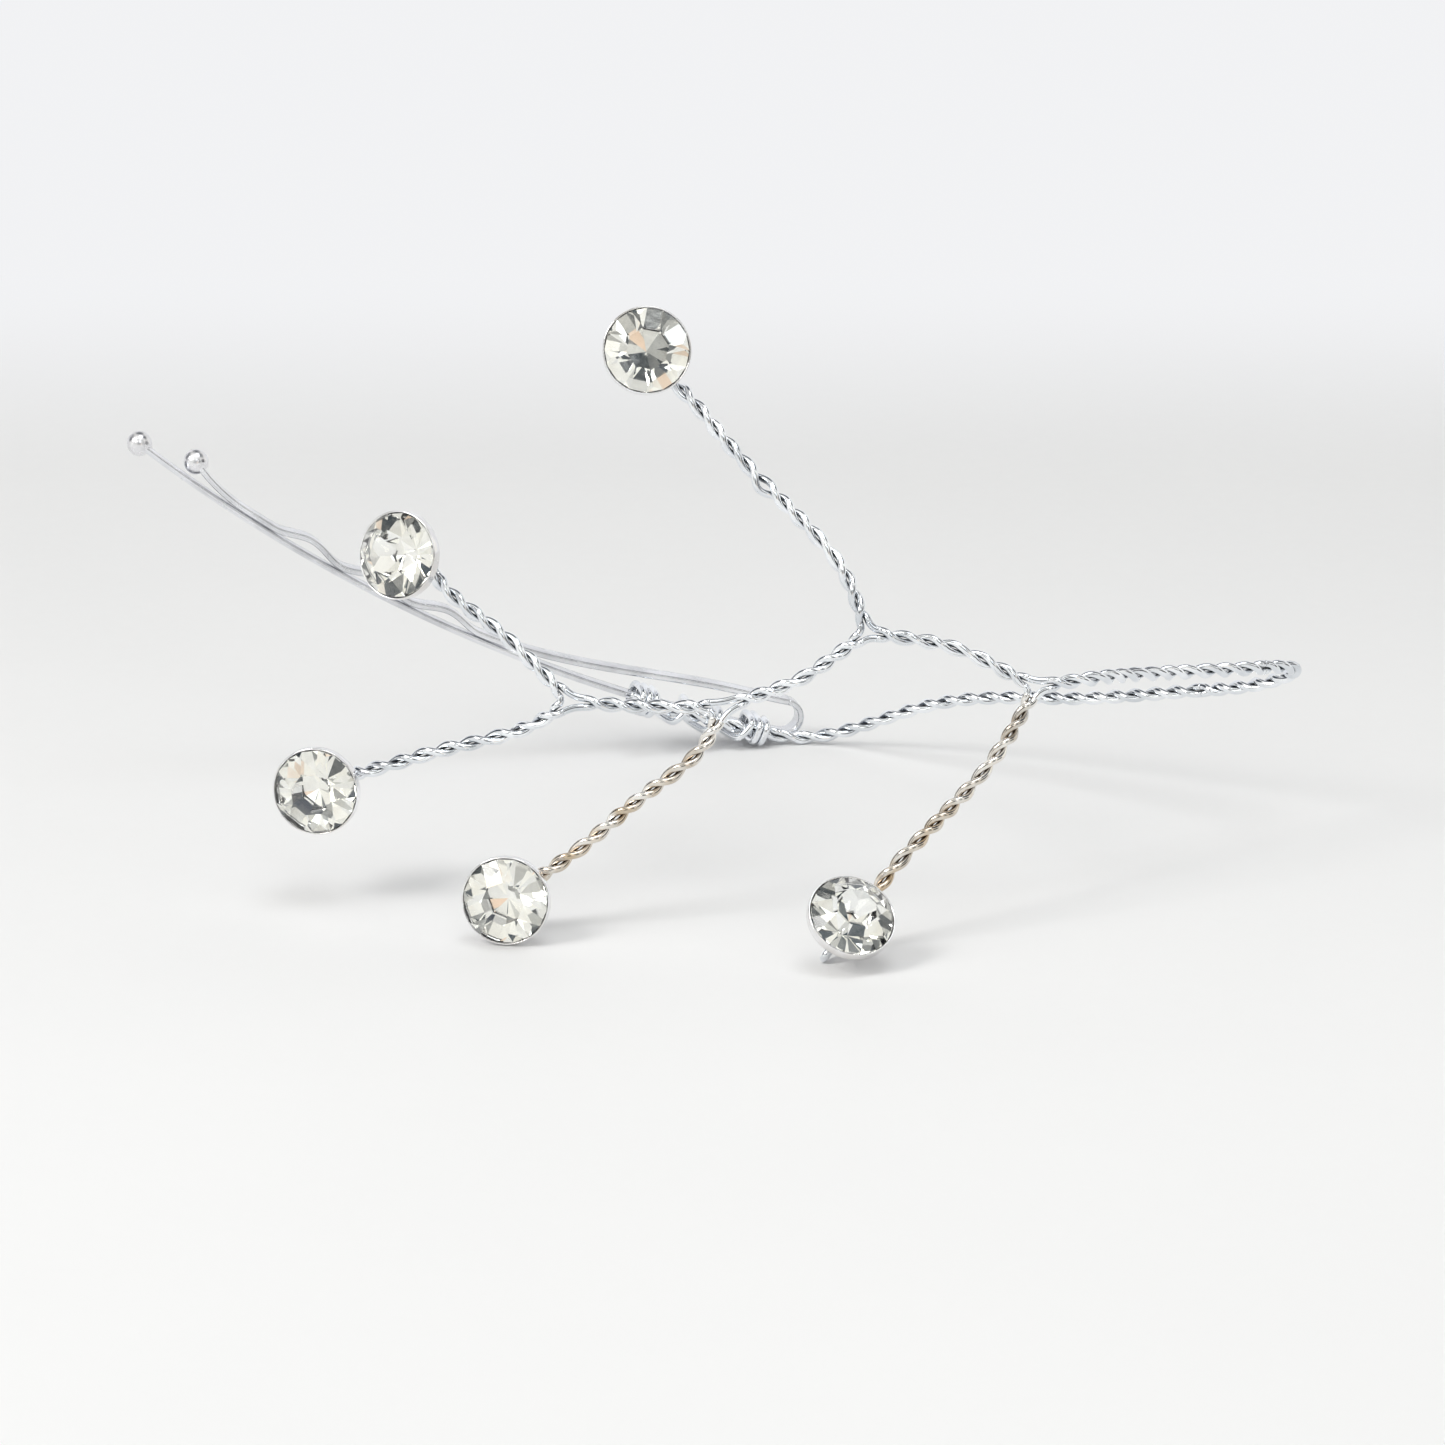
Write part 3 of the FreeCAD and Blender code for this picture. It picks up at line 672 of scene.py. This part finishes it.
def return_and_tail():
    """The run from the U-turn back to the pin, and its tail beside the fixed leg."""
    points = [RETURN_START] + RETURN_POINTS + [PIN.point(TAIL_START, 0, TAIL_WIDTH)]
    curve = clamped_spline(points, RETURN_HEADING, PIN.heading(TAIL_START))
    lines = pair_lines(curve, UP, UP, STRAND_OFFSET, STRAND_OFFSET, 23, uneven=0.0, end_twist=0.0)
    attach(wire_object("wire_return", lines, 53, "sprig_return_run"), "pin")
    step = (TAIL_END - TAIL_START) / 3
    points = [PIN.point(TAIL_START + step * i, 0, TAIL_WIDTH) for i in range(4)]
    curve = clamped_spline(points, PIN.heading(TAIL_START), PIN.heading(TAIL_END))
    lines = pair_lines(curve, UP, UP, STRAND_OFFSET, STRAND_OFFSET, 24, uneven=0.0)
    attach(wire_object("wire_tail", lines, 54, "sprig_tail"), "pin")


def binding_line():
    """The binding wire as one spiral round the leg and the tail, nearly square in section."""
    pair_radius = STRAND_OFFSET + STRAND_RADIUS
    margin = WRAP_CLEARANCE + STRAND_RADIUS
    low = TAIL_WIDTH - pair_radius - margin
    high = STRIP_WIDTH / 2 + margin
    rise = pair_radius + margin
    centre = (low + high) / 2
    half = (high - low) / 2
    turns = len(WRAP_PLACES)
    line = []
    for k in range(turns * WRAP_STEPS + 1):
        wound = k / WRAP_STEPS
        whole = min(int(wound), turns - 2)
        step = WRAP_PLACES[whole + 1] - WRAP_PLACES[whole]
        s = WRAP_PLACES[whole] + step * smooth_step(wound - whole)
        angle = 2 * math.pi * wound + math.pi / 2
        c, d = math.cos(angle), math.sin(angle)
        reach = (abs(c) ** 4 + abs(d) ** 4) ** -0.25
        out = PIN.across * (half * c * reach) + PIN.rising(s) * (rise * d * reach)
        line.append(PIN.point(s, 0, centre) + out)
    return [np.array(line)]


return_and_tail()
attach(wire_object("wire_binding", binding_line(), 55, "binding_wraps"), "pin")


# ---------------------------------------------------------------- settings
def lathe(profile, segments):
    """A closed profile of (radius, height) turned round the stone's axis."""
    verts, faces = [], []
    count = len(profile)
    for k in range(segments):
        a = 2 * math.pi * k / segments
        for r, z in profile:
            verts.append((r * math.cos(a), r * math.sin(a), z))
    for k in range(segments):
        n = (k + 1) % segments
        for i in range(count):
            j = (i + 1) % count
            faces.append((k * count + i, n * count + i, n * count + j, k * count + j))
    return verts, faces


def cup_profile():
    """The cup's wall in section: flat base, cone, short straight skirt and rolled lip, then back inside."""
    corner = BASE_RADIUS - CUP_FILLET
    outer = [(BASE_EYELET, BASE_Z), (corner, BASE_Z)]
    for k in range(1, 5):
        a = math.radians(-90 + 12 * k)
        outer.append((corner + CUP_FILLET * math.cos(a), BASE_Z + CUP_FILLET + CUP_FILLET * math.sin(a)))
    outer.append((CUP_RADIUS - SHOULDER, WALL_BOTTOM - SHOULDER))
    outer.append((CUP_RADIUS - SHOULDER / 5, WALL_BOTTOM))
    outer.append((CUP_RADIUS, WALL_BOTTOM + CUP_FILLET))
    lip = LIP_TOP - LIP_RADIUS
    outer.append((CUP_RADIUS, lip))
    for k in range(1, 8):
        a = math.radians(22.5 * k)
        outer.append((CUP_RADIUS - LIP_RADIUS + LIP_RADIUS * math.cos(a), lip + LIP_RADIUS * math.sin(a)))
    inner = [(CUP_RADIUS - CUP_WALL, lip), (CUP_RADIUS - CUP_WALL, WALL_BOTTOM)]
    inner.append((BASE_RADIUS - CUP_WALL / 2, BASE_Z + CUP_WALL))
    inner.append((BASE_EYELET, BASE_Z + CUP_WALL))
    return outer + inner


def tunnel_mesh():
    """The short tube on the cup's back, its ends a little chamfered."""
    verts, faces = [], []
    first, last = -TUNNEL_LENGTH / 2, TUNNEL_LENGTH / 2
    narrow = TUNNEL_RADIUS - TUNNEL_CHAMFER
    rings = [(first, narrow), (first + TUNNEL_CHAMFER_LENGTH, TUNNEL_RADIUS),
             (last - TUNNEL_CHAMFER_LENGTH, TUNNEL_RADIUS), (last, narrow),
             (last, TUNNEL_BORE), (first, TUNNEL_BORE)]
    for x, radius in rings:
        for k in range(TUNNEL_SIDES):
            a = 2 * math.pi * k / TUNNEL_SIDES
            verts.append((x, radius * math.cos(a), TUNNEL_Z + radius * math.sin(a)))
    for i in range(len(rings)):
        j = (i + 1) % len(rings)
        for k in range(TUNNEL_SIDES):
            n = (k + 1) % TUNNEL_SIDES
            faces.append((i * TUNNEL_SIDES + k, j * TUNNEL_SIDES + k,
                          j * TUNNEL_SIDES + n, i * TUNNEL_SIDES + n))
    return verts, faces


def stone_facets():
    """Table, star, kite and girdle facets over a foiled pavilion: each facet's corners and its material."""
    clear, foiled = 0, 1
    half = STONE_SIDES // 2
    step = 2 * math.pi / STONE_SIDES

    def ring(radius, height, count, offset=0.0):
        angles = [2 * math.pi * i / count + offset for i in range(count)]
        return [V(radius * math.cos(a), radius * math.sin(a), height) for a in angles]

    upper = ring(STONE_RADIUS, GIRDLE_TOP, STONE_SIDES)
    lower = ring(STONE_RADIUS, GIRDLE_BOTTOM, STONE_SIDES)
    table = ring(TABLE_RADIUS, CROWN_TOP, half, step / 2)
    tip = V(0, 0, PAVILION_TIP)
    ends = ring(STONE_RADIUS * math.cos(step / 2) / math.cos(step), GIRDLE_BOTTOM, half, step / 2)
    breaks = [tip + (end - tip) * PAVILION_BREAK for end in ends]
    facets = [(table, clear)]
    for i in range(half):
        a, b, c, d = 2 * i, 2 * i + 1, (2 * i + 2) % STONE_SIDES, (i + 1) % half
        facets.append(([upper[a], upper[b], table[i]], clear))
        facets.append(([upper[b], upper[c], table[d], table[i]], clear))
        facets.append(([breaks[i], lower[b], lower[a]], foiled))
        facets.append(([tip, breaks[d], lower[c], lower[b], breaks[i]], foiled))
    for i in range(STONE_SIDES):
        j = (i + 1) % STONE_SIDES
        facets.append(([lower[i], lower[j], upper[j], upper[i]], clear))
    return facets


class Setting:
    """One stone's place: its axis, the line of its tunnel, and the branch that leads to it."""

    def __init__(self, name):
        self.name = name
        self.body = name + "_arm"
        self.junction, self.points, self.centre, lean_right, lean_up = BRANCHES[name]
        right, up = math.sin(math.radians(lean_right)), math.sin(math.radians(lean_up))
        self.axis = unit(FACING * math.sqrt(1 - right * right - up * up) + ACROSS * right + RISING * up)
        self.foot, self.heading, self.side = foot(self.junction, name)
        self.tunnel = self.centre + self.axis * TUNNEL_Z
        self.along = square_to(self.tunnel - self.points[-1], self.axis)
        self.basis = np.stack([self.along, np.cross(self.axis, self.along), self.axis])
        reach = TUNNEL_LENGTH / 2 + LEAD_LENGTH
        self.near = self.tunnel - self.along * reach
        self.far = self.tunnel + self.along * reach

    def place(self, points):
        return (np.asarray(points) @ self.basis + self.centre + SHIFT) * MM


# From the wire in the tunnel to the wire that comes back behind it
LOOP_SPREAD = TUNNEL_RADIUS + LOOP_CLEARANCE + STRAND_RADIUS


def gem(setting):
    bm = bmesh.new()
    for points, part in stone_facets():
        corners = [bm.verts.new(p) for p in setting.place(points)]
        face = bm.faces.new(corners)
        face.material_index = part
    bmesh.ops.remove_doubles(bm, verts=bm.verts, dist=1e-7)
    bmesh.ops.recalc_face_normals(bm, faces=bm.faces)
    mesh = bpy.data.meshes.new("gem_" + setting.name)
    bm.to_mesh(mesh)
    bm.free()
    stone = bpy.data.objects.new("gem_" + setting.name, mesh)
    bpy.context.scene.collection.objects.link(stone)
    mesh.materials.append(GLASS)
    mesh.materials.append(FOIL)
    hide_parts(setting.name + "_stone")
    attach(stone, setting.body)


def cup(setting):
    verts, faces = lathe(cup_profile(), CUP_SEGMENTS)
    more, more_faces = tunnel_mesh()
    count = len(verts)
    faces += [tuple(count + i for i in f) for f in more_faces]
    obj = new_object("setting_" + setting.name, setting.place(verts + more), faces)
    obj.data.set_sharp_from_angle(angle=math.radians(50))
    obj.data.materials.append(CUP)
    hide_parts(setting.name + "_cup")
    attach(obj, setting.body)


def wire_loop(setting, number):
    """The wire through the tunnel, round its far end and back behind the cup."""
    near, far, along = setting.near, setting.far, setting.along
    back = -setting.axis * LOOP_SPREAD
    line = [near + (far - near) * k / 30 for k in range(31)]
    for k in range(1, 24):
        a = math.pi * k / 24
        line.append(far + back * (1 - math.cos(a)) / 2 + along * (LOOP_SPREAD / 2 * math.sin(a)))
    line += [far + back + (near - far) * k / 30 for k in range(31)]
    name = setting.name
    obj = wire_object("wire_loop_" + name, [np.array(line)], 70 + number, name + "_wire_loop")
    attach(obj, setting.body)


def branch(setting, number):
    """The twisted branch from its junction to its stone, baked into world place with no parent."""
    name = setting.name
    end = setting.near - setting.axis * (LOOP_SPREAD / 2)
    curve = clamped_spline([setting.foot] + setting.points + [end], setting.heading, setting.along)
    lines = pair_lines(curve, setting.side, setting.axis, FOOT_OFFSET, LOOP_SPREAD / 2, 80 + 3 * number,
                       bows=BOWS.get(name, ()))
    # the two front branches, near the floor, get the wire with the painted warm reflection
    material = WIRE_PAINTED_WARM if name.startswith("front") else WIRE
    obj = wire_object("wire_branch_" + name, lines, 90 + number, name + "_branch", material)
    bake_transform(obj)


for number, name in enumerate(BRANCHES):
    setting = Setting(name)
    gem(setting)
    cup(setting)
    wire_loop(setting, number)
    branch(setting, number)


# ---------------------------------------------------------------- the hair pin
def spring_height(s):
    """How high the springy leg runs above the fixed leg: closing in, then its waves, then the flare."""
    low = STRIP_THICKNESS + LEG_GAP
    closed = smooth_step((s - CLOSING_START) / (CLOSING_END - CLOSING_START))
    height = 2 * HEAD_RADIUS + (low - 2 * HEAD_RADIUS) * closed
    if CLOSING_END < s < WAVE_END:
        angle = 2 * math.pi * WAVE_COUNT * (s - CLOSING_END) / (WAVE_END - CLOSING_END)
        height += WAVE_HEIGHT * (1 - math.cos(angle)) / 2
    if s > FLARE_START:
        height += FLARE_RISE * ((s - FLARE_START) / (SPRING_LEG_LENGTH - FLARE_START)) ** 2
    return height


def strip_object(name, line, node):
    section = strip_section(STRIP_WIDTH, STRIP_THICKNESS, STRIP_CORNER)
    normals = np.cross(np.gradient(line, axis=0), PIN.across)
    obj = tube_object(name, [line], section, PIN_METAL, normals=[normals])
    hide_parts(node)
    return obj


def fixed_leg():
    """The head bend and the fixed leg, in one strip."""
    apex = PIN.point(0, HEAD_RADIUS)
    line = []
    for k in range(41):
        a = math.pi / 2 - math.pi * k / 40
        bend = PIN.rising(0) * (HEAD_RADIUS * math.sin(a)) - PIN.heading(0) * (HEAD_RADIUS * math.cos(a))
        line.append(apex + bend)
    line += [PIN.point(FIXED_LEG_LENGTH * k / 300, 0) for k in range(1, 301)]
    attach(strip_object("pin_strip_fixed", np.array(line), "pin_fixed_leg"), "pin")


def spring_leg():
    """The waved leg, baked into world place with no parent."""
    places = [SPRING_LEG_LENGTH * k / 500 for k in range(501)]
    line = np.array([PIN.point(s, spring_height(s)) for s in places])
    obj = strip_object("pin_strip_spring", line, "pin_spring_leg")
    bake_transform(obj)


fixed_leg()
spring_leg()


def bead(name, centre, heading, node, body):
    """A round bead, very slightly uneven, on the end of a leg."""
    side = square_to(UP, heading)
    other = np.cross(heading, side)
    verts, faces = [], []
    rings, sides = 28, 40
    for i in range(rings + 1):
        a = math.pi * (0.004 + 0.992 * i / rings)
        for k in range(sides):
            b = 2 * math.pi * k / sides
            dent = 1 - BEAD_DENT * (1 + math.sin(3 * b + 1) * math.sin(2 * a))
            outward = (side * math.cos(b) + other * math.sin(b)) * math.sin(a)
            verts.append(centre + BEAD_RADIUS * dent * (-heading * math.cos(a) + outward))
    for i in range(rings):
        for k in range(sides):
            n = (k + 1) % sides
            faces.append((i * sides + k, i * sides + n, (i + 1) * sides + n, (i + 1) * sides + k))
    faces.append(tuple(range(sides)))
    faces.append(tuple(rings * sides + k for k in reversed(range(sides))))
    obj = new_object(name, (np.array(verts) + SHIFT) * MM, faces)
    obj.data.materials.append(BEAD_METAL)
    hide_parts(node)
    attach(obj, body)


tip = FIXED_LEG_LENGTH - BEAD_SETBACK
bead("bead_fixed", PIN.point(tip, 0), PIN.heading(tip), "fixed_leg_bead", "pin")
tip = SPRING_LEG_LENGTH - BEAD_SETBACK
bead("bead_spring", PIN.point(tip, spring_height(tip)), PIN.heading(tip), "spring_leg_bead", "spring_leg")


# ---------------------------------------------------------------- floor and surroundings
FLOOR_NEAR = -40.0           # the table is palest up to here, and darker by here: painted shade towards the back
FLOOR_FAR = 90.0
GLOW_START = 80.0            # from here to here it passes into an evenly lit tone
GLOW_END = 141.0
SWEEP_FRONT = -900.0
SWEEP_START = 520.0
SWEEP_RADIUS = 160.0
SWEEP_TOP = 520.0
SWEEP_HALF_WIDTH = 900


def floor_material():
    """A matt pale table, darkened towards the back by painted shade, that passes softly into an evenly lit
    tone far behind the object.
    """
    sh = Shader("pale_floor")
    where = sh.position()
    shader = sh.add("ShaderNodeBsdfPrincipled")
    split = sh.add("ShaderNodeSeparateXYZ")
    sh.link(where, split.inputs[0])
    mottle = sh.noise(where, 25, 4)
    near = sh.ramp(mottle, [(0.3, (0.882, 0.883, 0.887)), (0.7, (0.896, 0.897, 0.9))])
    far = sh.ramp(mottle, [(0.3, (0.768, 0.769, 0.773)), (0.7, (0.782, 0.783, 0.786))])
    # painted shade: the table's colour darkens from near to far
    depth = sh.span(split.outputs["Y"], FLOOR_NEAR * MM, FLOOR_FAR * MM, 0, 1)
    sh.link(sh.mix(depth, near, far), shader.inputs["Base Color"])
    sh.link(sh.span(sh.noise(where, 900, 4), 0.3, 0.7, 0.5, 0.65), shader.inputs["Roughness"])
    shader.inputs["Specular IOR Level"].default_value = 0.25
    sh.link(sh.bump(sh.noise(where, 1600, 4), 0.1, 0.00002), shader.inputs["Normal"])
    lit = sh.add("ShaderNodeEmission")
    lit.inputs["Color"].default_value = (0.885, 0.89, 0.905, 1)
    mix = sh.add("ShaderNodeMixShader")
    sh.link(sh.span(split.outputs["Y"], GLOW_START * MM, GLOW_END * MM, 0, 1, soft=True), mix.inputs[0])
    sh.link(shader.outputs[0], mix.inputs[1])
    sh.link(lit.outputs[0], mix.inputs[2])
    sh.link(mix.outputs[0], sh.out.inputs["Surface"])
    return sh.material


def sweep_floor():
    """A floor that curves up into a backdrop, in one smooth sheet."""
    profile = [(SWEEP_FRONT, 0), (SWEEP_START, 0)]
    for k in range(1, 25):
        a = math.radians(90 * k / 24)
        profile.append((SWEEP_START + SWEEP_RADIUS * math.sin(a), SWEEP_RADIUS * (1 - math.cos(a))))
    profile.append((SWEEP_START + SWEEP_RADIUS, SWEEP_TOP))
    verts = [(x, y, z) for y, z in profile for x in (-SWEEP_HALF_WIDTH, SWEEP_HALF_WIDTH)]
    faces = [(2 * i, 2 * i + 1, 2 * i + 3, 2 * i + 2) for i in range(len(profile) - 1)]
    obj = new_object("floor", np.array(verts) * MM, faces)
    obj.data.materials.append(floor_material())


sweep_floor()


def area_light(name, direction, distance, size, radiance, colour):
    """A soft panel that faces the object; radiance is its brightness."""
    data = bpy.data.lights.new(name, "AREA")
    data.shape = "RECTANGLE"
    data.size, data.size_y = size[0] * MM, size[1] * MM
    data.energy = radiance * math.pi * data.size * data.size_y
    data.color = colour
    obj = bpy.data.objects.new(name, data)
    bpy.context.scene.collection.objects.link(obj)
    toward = Vector(direction).normalized()
    obj.location = (Vector((0, 0, 8)) + toward * distance) * MM
    obj.rotation_euler = toward.to_track_quat("Z", "Y").to_euler()


area_light("key", (-0.61, -0.38, 0.69), 700, (240, 240), 9.0, (1.0, 0.985, 0.96))
area_light("top", (0.15, -0.12, 1.0), 800, (420, 300), 2.6, (0.94, 0.97, 1.0))

# Patches of the room round the object, later ones over earlier: direction, half angle in degrees, colour
ROOM_BASE = (1.0, 0.99, 0.95)
ROOM_PATCHES = [
    ((0.00, -0.95, 0.30), 14, (0.06, 0.07, 0.08)),
    ((-0.60, -0.72, 0.34), 8, (0.07, 0.09, 0.11)),
    ((0.48, -0.62, 0.62), 8, (0.06, 0.08, 0.10)),
    ((0.64, -0.74, 0.22), 9, (0.07, 0.09, 0.11)),
    ((0.95, -0.25, 0.18), 17, (0.08, 0.08, 0.09)),
    ((-0.25, -0.50, 0.83), 10, (0.07, 0.09, 0.11)),
    ((0.33, -0.93, 0.16), 4, (0.95, 0.72, 0.55)),
    ((0.20, -0.80, 0.56), 6, (2.4, 2.5, 2.6)),
    ((-0.30, -0.78, 0.55), 5, (2.2, 2.2, 2.1)),
    ((-0.80, 0.30, 0.50), 24, (0.07, 0.08, 0.10)),
    ((0.60, 0.10, 0.80), 18, (0.07, 0.08, 0.10)),
    ((0.00, 0.55, 0.84), 20, (0.08, 0.09, 0.11)),
]


PATCH_EDGE = 4               # degrees each way over which a patch fades


def room():
    """The room as seen in the metal and the stones: pale, with dark, bright and warm patches."""
    world = bpy.data.worlds.new("room")
    bpy.context.scene.world = world
    world.use_nodes = True
    tree = world.node_tree
    tree.nodes.clear()
    where = tree.nodes.new("ShaderNodeTexCoord").outputs["Generated"]
    colour = None
    for direction, half_angle, tint in ROOM_PATCHES:
        dot = tree.nodes.new("ShaderNodeVectorMath")
        dot.operation = "DOT_PRODUCT"
        dot.inputs[1].default_value = Vector(direction).normalized()
        tree.links.new(where, dot.inputs[0])
        edge = tree.nodes.new("ShaderNodeMapRange")
        edge.interpolation_type = "SMOOTHSTEP"
        edge.inputs["From Min"].default_value = math.cos(math.radians(half_angle + PATCH_EDGE))
        edge.inputs["From Max"].default_value = math.cos(math.radians(half_angle - PATCH_EDGE))
        tree.links.new(dot.outputs["Value"], edge.inputs["Value"])
        mix = tree.nodes.new("ShaderNodeMix")
        mix.data_type = "RGBA"
        tree.links.new(edge.outputs["Result"], mix.inputs["Factor"])
        if colour is None:
            mix.inputs[6].default_value = (*ROOM_BASE, 1)
        else:
            tree.links.new(colour, mix.inputs[6])
        mix.inputs[7].default_value = (*tint, 1)
        colour = mix.outputs[2]
    background = tree.nodes.new("ShaderNodeBackground")
    tree.links.new(colour, background.inputs["Color"])
    output = tree.nodes.new("ShaderNodeOutputWorld")
    tree.links.new(background.outputs[0], output.inputs["Surface"])


room()

# ---------------------------------------------------------------- camera
DISTANCE = 400.0
VIEW_WIDTH = 80.3            # what the picture takes in at that distance
SENSOR = 36.0
AIM_HEIGHT = 11.4
camera_data = bpy.data.cameras.new("camera")
camera_data.sensor_width = SENSOR
camera_data.lens = SENSOR * DISTANCE / VIEW_WIDTH
camera_data.clip_start = 0.01
camera_data.clip_end = 20
camera = bpy.data.objects.new("camera", camera_data)
bpy.context.scene.collection.objects.link(camera)
aim = V(0, 0, AIM_HEIGHT) + SHIFT
camera.location = (aim + FACING * DISTANCE) * MM
camera.rotation_euler = (math.pi / 2 - PITCH, 0, 0)
bpy.context.scene.camera = camera
bpy.context.scene.view_settings.view_transform = "Standard"
